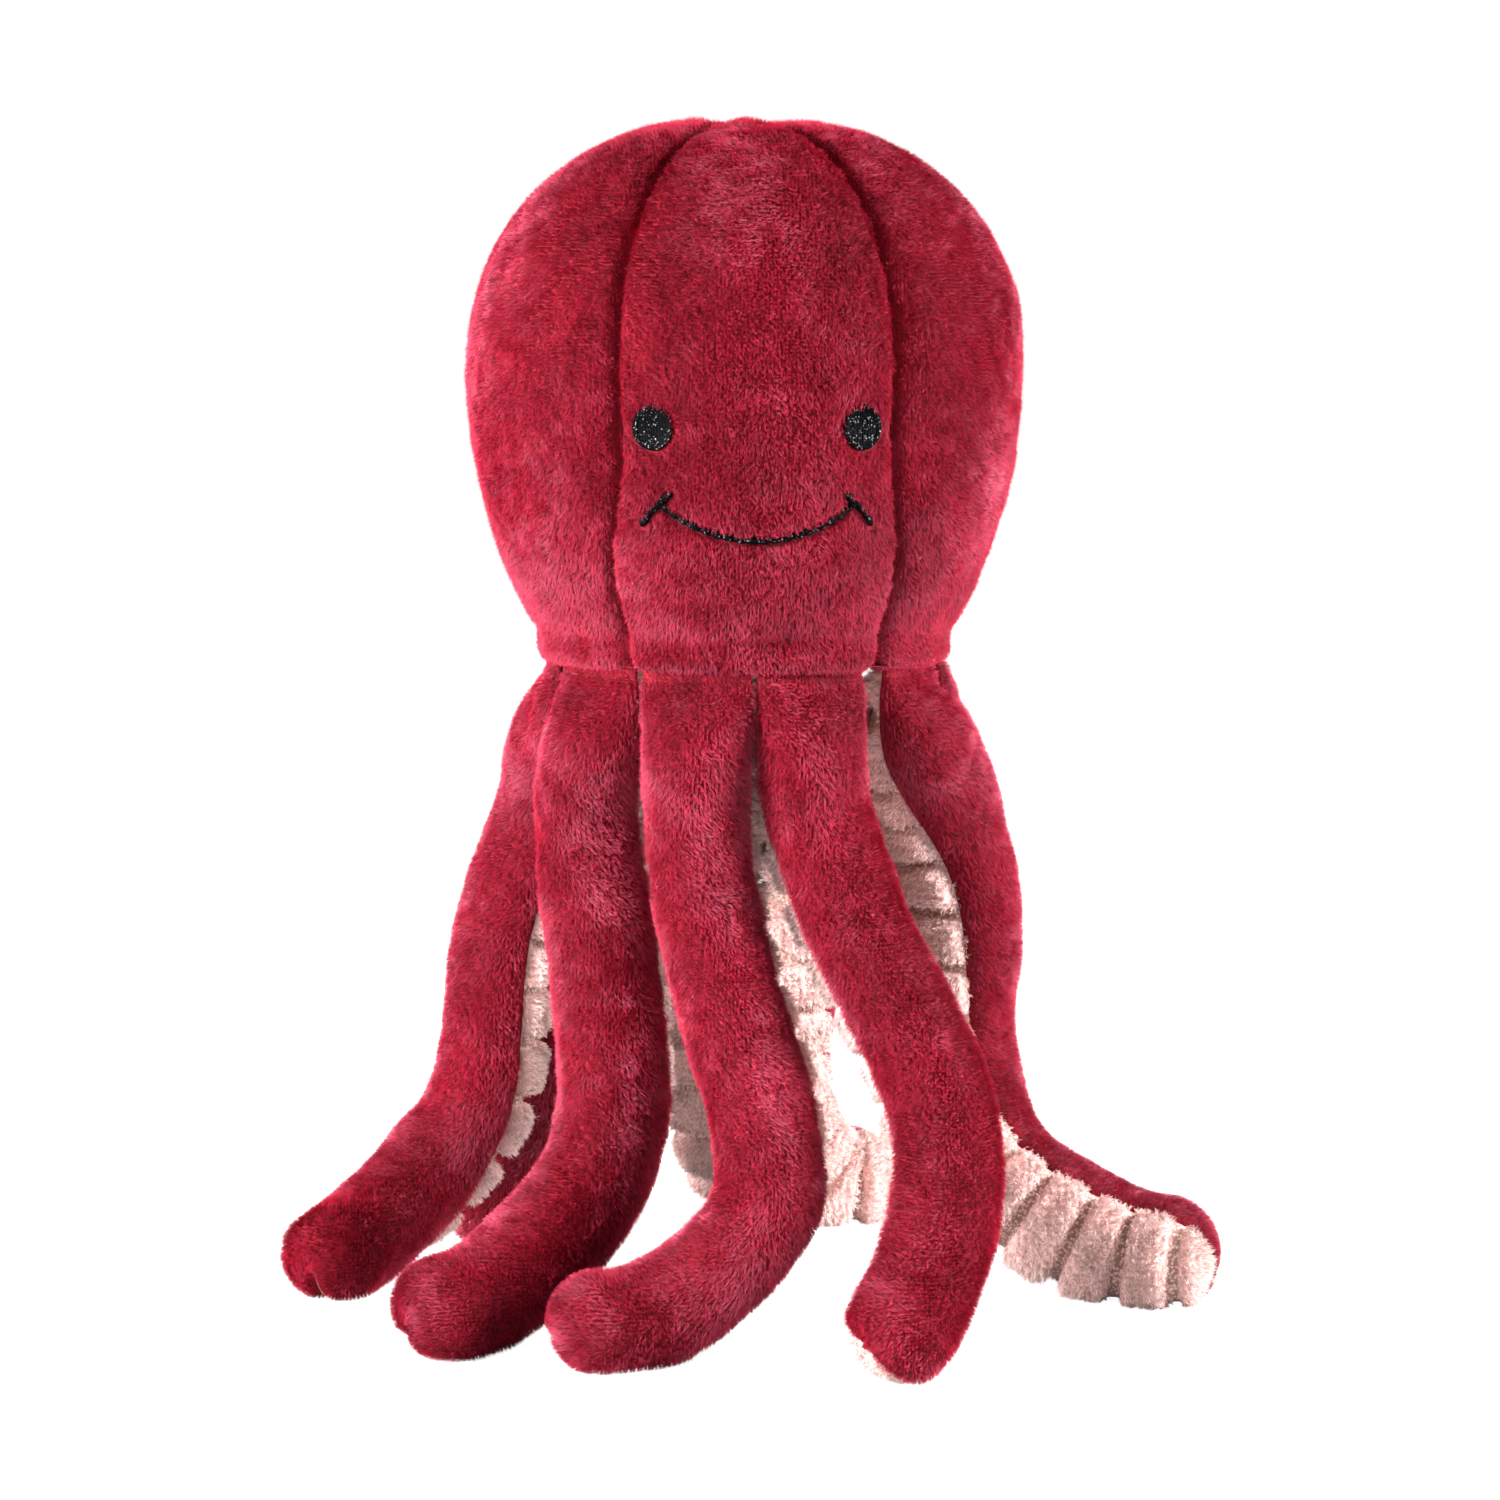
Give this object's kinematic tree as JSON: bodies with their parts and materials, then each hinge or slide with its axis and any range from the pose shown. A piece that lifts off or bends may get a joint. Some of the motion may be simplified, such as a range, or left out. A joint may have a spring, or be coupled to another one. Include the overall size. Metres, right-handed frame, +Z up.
{
  "type": "plush octopus",
  "caption": "Stuffed octopus soft toy: gored plush head with embroidered face, standing on stuffed tentacles that swing at their sewn roots and have ribbed undersides.",
  "frame": {"origin": "on the floor, at the middle of the whole toy's box, which is under the head's axis to about a millimetre", "axes": "+Z up; the face looks along -Y; +X is on the right of someone who faces the toy"},
  "size_m": [0.3008, 0.2815, 0.38],
  "materials": {
    "plush": "matte",
    "lining": "matte",
    "embroidery": "satin",
    "stuffing": "matte"
  },
  "bodies": {
    "head": {"face_panel": "plush", "right_cheek_panel": "plush", "right_rear_panel": "plush", "back_panel": "plush", "left_rear_panel": "plush", "left_cheek_panel": "plush", "head_stuffing": "stuffing", "base_panel": "plush", "left_eye": "embroidery", "right_eye": "embroidery", "smile": "embroidery", "left_smile_tick": "embroidery", "right_smile_tick": "embroidery"},
    "tentacle_1": {"tentacle_1_plush": "plush", "tentacle_1_lining": "lining", "tentacle_1_stuffing": "stuffing"},
    "tentacle_2": {"tentacle_2_plush": "plush", "tentacle_2_lining": "lining", "tentacle_2_stuffing": "stuffing"},
    "tentacle_3": {"tentacle_3_plush": "plush", "tentacle_3_lining": "lining", "tentacle_3_stuffing": "stuffing"},
    "tentacle_4": {"tentacle_4_plush": "plush", "tentacle_4_lining": "lining", "tentacle_4_stuffing": "stuffing"},
    "tentacle_5": {"tentacle_5_plush": "plush", "tentacle_5_lining": "lining", "tentacle_5_stuffing": "stuffing"},
    "tentacle_6": {"tentacle_6_plush": "plush", "tentacle_6_lining": "lining", "tentacle_6_stuffing": "stuffing"},
    "tentacle_7": {"tentacle_7_plush": "plush", "tentacle_7_lining": "lining", "tentacle_7_stuffing": "stuffing"},
    "tentacle_8": {"tentacle_8_plush": "plush", "tentacle_8_lining": "lining", "tentacle_8_stuffing": "stuffing"}
  },
  "joints": [
    {"name": "tentacle_1_lift", "type": "hinge", "parent": "head", "child": "tentacle_1", "pos_m": [-0.06296, 0.0022, 0.2044], "axis": [0.0349, 0.9994, 0], "range_deg": [-5, 85]},
    {"name": "tentacle_2_lift", "type": "hinge", "parent": "head", "child": "tentacle_2", "pos_m": [-0.04965, -0.03879, 0.2044], "axis": [-0.6157, 0.788, 0], "range_deg": [-5, 85]},
    {"name": "tentacle_3_lift", "type": "hinge", "parent": "head", "child": "tentacle_3", "pos_m": [-0.01842, -0.06025, 0.2044], "axis": [-0.9563, 0.2924, 0], "range_deg": [-5, 85]},
    {"name": "tentacle_4_lift", "type": "hinge", "parent": "head", "child": "tentacle_4", "pos_m": [0.01842, -0.06025, 0.2044], "axis": [-0.9563, -0.2924, 0], "range_deg": [-5, 85]},
    {"name": "tentacle_5_lift", "type": "hinge", "parent": "head", "child": "tentacle_5", "pos_m": [0.05343, -0.03338, 0.2044], "axis": [-0.5299, -0.848, 0], "range_deg": [-5, 85]},
    {"name": "tentacle_6_lift", "type": "hinge", "parent": "head", "child": "tentacle_6", "pos_m": [-0.03523, 0.05223, 0.2044], "axis": [0.829, 0.5592, 0], "range_deg": [-2, 85]},
    {"name": "tentacle_7_lift", "type": "hinge", "parent": "head", "child": "tentacle_7", "pos_m": [0.0236, 0.05841, 0.2044], "axis": [0.9272, -0.3746, 0], "range_deg": [-2, 85]},
    {"name": "tentacle_8_lift", "type": "hinge", "parent": "head", "child": "tentacle_8", "pos_m": [0.05992, 0.01947, 0.2044], "axis": [0.309, -0.9511, 0], "range_deg": [-2, 85]}
  ]
}
